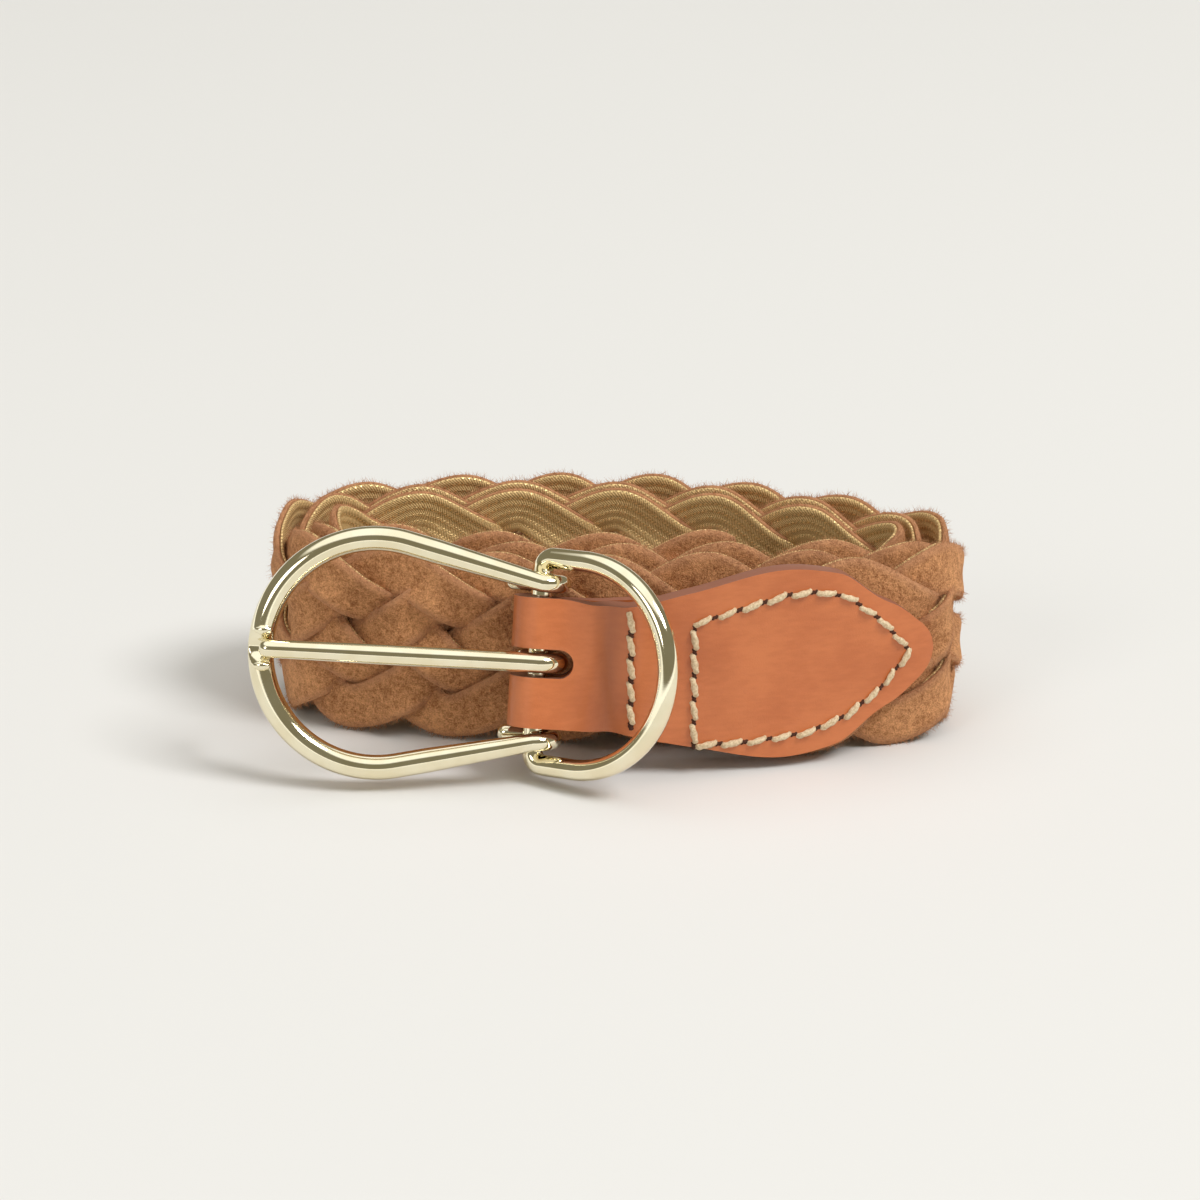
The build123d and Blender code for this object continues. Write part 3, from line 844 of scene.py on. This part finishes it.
def make_seam(name, corners, offset, tree, rod, phase=0.5, pitch=4.15, scale=1.0):
    places, turns = seam_points(corners, pitch, offset, phase)
    made = mesh_object(name, places, [])
    turn = made.data.attributes.new("turn", "FLOAT_VECTOR", "POINT")
    turn.data.foreach_set("vector", np.array(turns).ravel())
    modifier = made.modifiers.new("seam", "NODES")
    modifier.node_group = tree
    set_input(modifier, "Stitch", rod)
    set_input(modifier, "Scale", scale)
    bake_modifiers(made)
    print(name, len(places), "places,", len(made.data.polygons), "faces")
    return made


# %% Lay the seams
FACE = HALF_BRAID + GAP + LEAF
left, right = run_at(BAR_X + 25.2), run_at(BAR_X + 60.6)
span = right - left
tab_rise = [(0, 5.5), (0, 27.2), (0.24, 29.6), (0.42, 31.2), (0.56, 31.3), (0.70, 29.8), (0.86, 25.0),
            (1, tab_middle), (0.86, 12.8), (0.70, 8.6), (0.52, 6.3), (0.25, 5.5), (0, 5.5)]
tab_seam = [(left + share * span, height) for share, height in tab_rise]
fold_run = run_at(BAR_X + 15.0)
fold_seam = [(fold_run, BAR_HEIGHT - 10.2), (fold_run, BAR_HEIGHT + 10.2)]
tip_seam = [(LENGTH - 39, 8.0), (LENGTH - 39, 27.0), (LENGTH - 9, 27.0), (LENGTH - 3.4, 17.5),
            (LENGTH - 9, 8.0), (LENGTH - 39, 8.0)]
TIP_FACE = HALF_BRAID + GAP + 1.3
seam_plan = [
    ("tab_thread", tab_seam, FACE + 0.32, "tab_stitches"),
    ("fold_thread", fold_seam, FACE + 0.22, "fold_stitches"),
    ("tip_thread", tip_seam, -TIP_FACE - 0.32, "tip_stitches"),
]
seams = [(make_seam(name, corners, offset, STITCH_TREE, thread_rod), node)
         for name, corners, offset, node in seam_plan]
# Painted shade: a short dark rod sits in each stitch hole, between the stitches.
hole_shades = [
    make_seam("tab_holes", tab_seam, FACE - 0.22, HOLE_SHADE_TREE, hole_rod, phase=0.0),
    make_seam("fold_holes", fold_seam, FACE - 0.26, HOLE_SHADE_TREE, hole_rod, phase=0.0),
]
print("seams", [made.name for made, _ in seams])

# %% [markdown]
# ## Polished pale gold wire
# The frame, prong and ring are bent from round wire and plated. Each is a tube drawn along its
# bend with many sides, so that reflections run smoothly, and the frame's wire thickens slightly
# from its eyes to the round end.

# %% Metal material
def metal_material():
    made, shader, start = new_material("pale_gold_metal", roughness=0.09, metallic=1.0)
    place = start.node("ShaderNodeTexCoord", out=3)
    haze = start.node("ShaderNodeTexNoise", Vector=place, Scale=180.0, Detail=3.0)
    fine = start.node("ShaderNodeMapping", {}, Vector=place, Scale=(300.0, 300.0, 5200.0))
    hair = start.node("ShaderNodeTexNoise", Vector=fine, Scale=1.0, Detail=3.0)
    shade = haze.between(0.35, 0.65).mix(colour(238, 228, 196), colour(244, 236, 208))
    roughness = 0.05 + hair.between(0.5, 0.8) * 0.03 + haze * 0.02
    bump = start.node("ShaderNodeBump", Strength=0.015, Distance=0.0001, Height=hair)
    feed(start, shader, Base_Color=shade, Roughness=roughness, Normal=bump)
    return made


METAL = metal_material()
print("made", METAL.name)


def wire_mesh(name, path, radii, sides=28, closed=False):
    """A tube along points in millimetres of the bar's plane, with rounded ends unless closed."""
    path = np.array(path, float)
    radii = np.broadcast_to(np.asarray(radii, float), len(path)).copy()
    if closed:
        tangent = np.roll(path, -1, 0) - np.roll(path, 1, 0)
    else:
        tangent = np.gradient(path, axis=0)
    tangent /= np.linalg.norm(tangent, axis=1)[:, None]
    if not closed:
        lead = [path[0] - tangent[0] * radii[0] * s for s in (0.92, 0.7, 0.38)]
        tail = [path[-1] + tangent[-1] * radii[-1] * s for s in (0.38, 0.7, 0.92)]
        shrink = [math.sqrt(1 - s * s) for s in (0.92, 0.7, 0.38)]
        path = np.concatenate([lead, path, tail])
        radii = np.concatenate([[radii[0] * s for s in shrink], radii, [radii[-1] * s for s in shrink[::-1]]])
        tangent = np.concatenate([np.repeat(tangent[:1], 3, 0), tangent, np.repeat(tangent[-1:], 3, 0)])
    side = np.cross(tangent[0], (0.3, 0.9, 0.2))
    rings, around = [], np.linspace(0, 2 * np.pi, sides + 1)[:-1]
    for point, t, radius in zip(path, tangent, radii):
        side = side - t * side.dot(t)
        side /= np.linalg.norm(side)
        other = np.cross(t, side)
        rings.append(point + radius * (np.cos(around)[:, None] * side + np.sin(around)[:, None] * other))
    points = np.concatenate(rings)
    faces = tube_faces(len(path), sides)
    if closed:
        first, last = rings[0], rings[-1]
        shift = int(np.argmin(np.linalg.norm(first - last[0], axis=1)))
        base = (len(path) - 1) * sides
        faces = faces[:-2]
        for j in range(sides):
            after = (j + 1) % sides
            faces.append([base + j, base + after, (j + 1 + shift) % sides, (j + shift) % sides])
    made = mesh_object(name, points, faces)
    return made


def to_bar(made):
    """Moves a mesh from the bar plane's millimetres to the frame's metres."""
    local = np.empty(len(made.data.vertices) * 3)
    made.data.vertices.foreach_get("co", local)
    local = local.reshape(-1, 3)
    placed = in_bar(local[:, 0], local[:, 1], local[:, 2])
    made.data.vertices.foreach_set("co", placed.astype(np.float32).ravel())
    made.data.update()
    outward(made)
    made.data.materials.append(METAL)
    made.data.shade_smooth()
    return made


def arc(cx, cz, radius, first, last, count, y=0.0):
    angle = np.linspace(first, last, count)
    return [(cx + radius * math.cos(a), y, cz + radius * math.sin(a)) for a in angle]


# %% D ring with its straight hinge bar
RING_HALF, RING_DEPTH, RING_CORNER, RING_REST = 17.2, 25.2, 2.2, 33.0
bow, straight, flat = RING_HALF, RING_HALF - RING_CORNER, RING_DEPTH - RING_HALF
quarter = math.pi / 2
ring_path = [(0, 0, z) for z in np.linspace(-straight, straight, 30)[:-1]]
ring_path += arc(RING_CORNER, straight, RING_CORNER, math.pi, quarter, 10)
ring_path += arc(flat, 0, bow, quarter, -quarter, 72)
ring_path += arc(RING_CORNER, -straight, RING_CORNER, -quarter, -math.pi, 10)[:-1]
rest = math.radians(-RING_REST)
ring_path = [(x * math.cos(rest), x * math.sin(rest), z) for x, _, z in ring_path]
ring_wire = to_bar(wire_mesh("d_ring_wire", ring_path, BAR_RADIUS, closed=True))
print("ring wire faces", len(ring_wire.data.polygons))

# %% Frame with two hooked eyes, and a seat for the prong's tip
FRAME_WIRE, FRAME_ROUND, FRAME_LENGTH, EYE_HEIGHT, EYE_WIRE = 2.05, 18.9, 45.5, 13.2, 1.5
PRONG_WIRE, PRONG_SEAT = 1.65, 1.1
reach = BAR_RADIUS + HINGE_GAP + EYE_WIRE
level = -reach
centre = FRAME_ROUND - FRAME_LENGTH
far = math.hypot(centre, EYE_HEIGHT)
touch = math.atan2(EYE_HEIGHT, -centre) + math.atan2(math.sqrt(far**2 - FRAME_ROUND**2), FRAME_ROUND)


def half_frame(side):
    """From the tail behind the bar, round it and along the arm to the start of the round end."""
    path = [(x, reach, EYE_HEIGHT - 0.5) for x in np.linspace(-4.6, 0, 8)]
    radii = [EYE_WIRE] * 8
    for a in np.linspace(quarter, -quarter, 22)[1:]:
        climb = 0.5 * (1 - (a + quarter) / math.pi)
        path.append((reach * math.cos(a), reach * math.sin(a), EYE_HEIGHT - 0.5 + climb))
        radii.append(EYE_WIRE)
    tx, tz = centre + FRAME_ROUND * math.cos(touch), FRAME_ROUND * math.sin(touch)
    for s in np.linspace(0, 1, 26)[1:-1]:
        path.append((tx * s, level, EYE_HEIGHT + (tz - EYE_HEIGHT) * s))
        radii.append(EYE_WIRE + (FRAME_WIRE - EYE_WIRE) * min(s * 1.3, 1))
    return [(x, y, side * z) for x, y, z in path], radii


upper, upper_radii = half_frame(1)
lower, lower_radii = half_frame(-1)
round_end = arc(centre, 0, FRAME_ROUND, touch, 2 * math.pi - touch, 80, level)
swell = [FRAME_WIRE + 0.06 * math.sin(math.pi * i / 79) for i in range(80)]
frame_path = upper + round_end + lower[::-1]
frame_radii = upper_radii + swell + lower_radii[::-1]
frame_wire = wire_mesh("frame_wire", frame_path, frame_radii, sides=32)
seat_y = level - FRAME_WIRE - PRONG_WIRE + PRONG_SEAT
for vertex in frame_wire.data.vertices:
    x, y, z = vertex.co
    if x < -FRAME_LENGTH + 4 and abs(z) < PRONG_WIRE + 0.45 and y < level:
        limit = seat_y + math.sqrt(max((PRONG_WIRE + 0.45) ** 2 - z * z, 0))
        vertex.co.y = max(y, min(limit, level))
to_bar(frame_wire)
lugs = []
for side in (1, -1):
    lug_y, lug_z = level - FRAME_WIRE + 0.35, side * (PRONG_WIRE + 1.3)
    path = [(-FRAME_LENGTH + s, lug_y, lug_z) for s in (-0.5, -0.1, 0.4, 0.9, 1.3)]
    name = f"seat_lug_{1 if side > 0 else 2}"
    lugs.append(to_bar(wire_mesh(name, path, [0.62, 0.85, 0.92, 0.85, 0.62], sides=20)))
print("frame wire faces", len(frame_wire.data.polygons))

# %% Prong: eye on the bar, a slight crown, and a blunt tip on the frame
hook = BAR_RADIUS + HINGE_GAP + PRONG_WIRE
prong_path = [(x, hook, 0) for x in np.linspace(-2.6, 0, 5)]
prong_path += [(hook * math.cos(a), hook * math.sin(a), 0) for a in np.linspace(quarter, -quarter, 22)[1:]]
end_x = -FRAME_LENGTH + 1.3
for s in np.linspace(0, 1, 44)[1:]:
    x = end_x * s
    y = -hook + (seat_y + hook) * s - 1.9 * math.sin(math.pi * s) ** 1.2
    prong_path.append((x, y, 0.25 * math.sin(math.pi * s)))
prong_radii = np.interp(np.arange(len(prong_path)), [0, 26, 50, len(prong_path) - 1], [1.6, 1.68, 1.7, 1.5])
prong_wire = to_bar(wire_mesh("prong_wire", prong_path, prong_radii, sides=28))
print("prong wire faces", len(prong_wire.data.polygons))

# %% Tie every piece to its body
for number in range(STRANDS):
    for made in (suede_strands[number], naps[number]):
        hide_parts("suede_braid")
    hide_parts("ribbon_braid")
for made, node in ((chape, "chape"), (tip_out, "tip_outer_leaf"), (tip_in, "tip_inner_leaf")):
    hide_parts(node)
for made, node in seams:
    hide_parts(node)
seam_threads = [made for made, _ in seams]
for made in (*suede_strands, *naps, *ribbon_strands, chape, tip_out, tip_in, *seam_threads, *hole_shades):
    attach(made, "strap")
metal = ((ring_wire, "d_ring", "ring"), (frame_wire, "buckle_frame", "frame"), (prong_wire, "prong", "prong"))
for made, node, body in metal:
    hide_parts(node)
    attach(made, body)
for made in lugs:
    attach(made, "frame")
for rod in (thread_rod, hole_rod):
    bpy.data.objects.remove(rod)

# %% [markdown]
# ## Floor and light
# A pale floor runs out of view on every side. One large soft light stands above and to the right,
# a weaker one to the left, and a grey band crosses a bright sky, so that the polished wire shows
# a dark line along its upper side.

# %% Floor
floor_material, floor_shader, start = new_material("floor", roughness=0.9)
place = start.node("ShaderNodeTexCoord", out=3)
haze = start.node("ShaderNodeTexNoise", Vector=place, Scale=3.0)
feed(start, floor_shader, Base_Color=haze.mix(colour(224, 223, 221), colour(226, 225, 223)))
floor = mesh_object("floor", [(-6, -6, 0), (6, -6, 0), (6, 6, 0), (-6, 6, 0)], [(0, 1, 2, 3)], smooth=False)
floor.data.materials.append(floor_material)
print("floor material", floor_material.name)


# %% Lights
def soft_light(name, place, size, power, tint):
    data = bpy.data.lights.new(name, "AREA")
    data.shape, data.size, data.energy, data.color = "DISK", size, power, tint
    made = bpy.data.objects.new(name, data)
    bpy.context.collection.objects.link(made)
    made.location = place
    made.rotation_euler = (Vector(place) - Vector((0, 0, 0.02))).to_track_quat("Z", "Y").to_euler()
    return made


soft_light("key", (2.6, -1.4, 3.6), 1.8, 140.0, (1.0, 1.0, 1.0))
soft_light("fill", (-2.2, -2.8, 2.0), 1.6, 22.0, (1.0, 1.0, 1.0))
world = bpy.data.worlds.new("studio")
world.use_nodes = True
bpy.context.scene.world = world
back = Socket(world.node_tree, None)
ground = back.node("ShaderNodeTexCoord", out=0)
split = back.node("ShaderNodeSeparateXYZ", Vector=ground)
height = Socket(split.tree, split.socket.node.outputs[2])
band = height.between(0.07, 0.14) * height.between(0.84, 0.72)
sky = band.mix(colour(246, 246, 244), colour(116, 112, 96))
background = world.node_tree.nodes["Background"]
world.node_tree.links.new(sky.socket, background.inputs["Color"])
background.inputs["Strength"].default_value = 1.3
bpy.context.scene.view_settings.view_transform = "Standard"
print("lights", [light.name for light in bpy.data.lights])
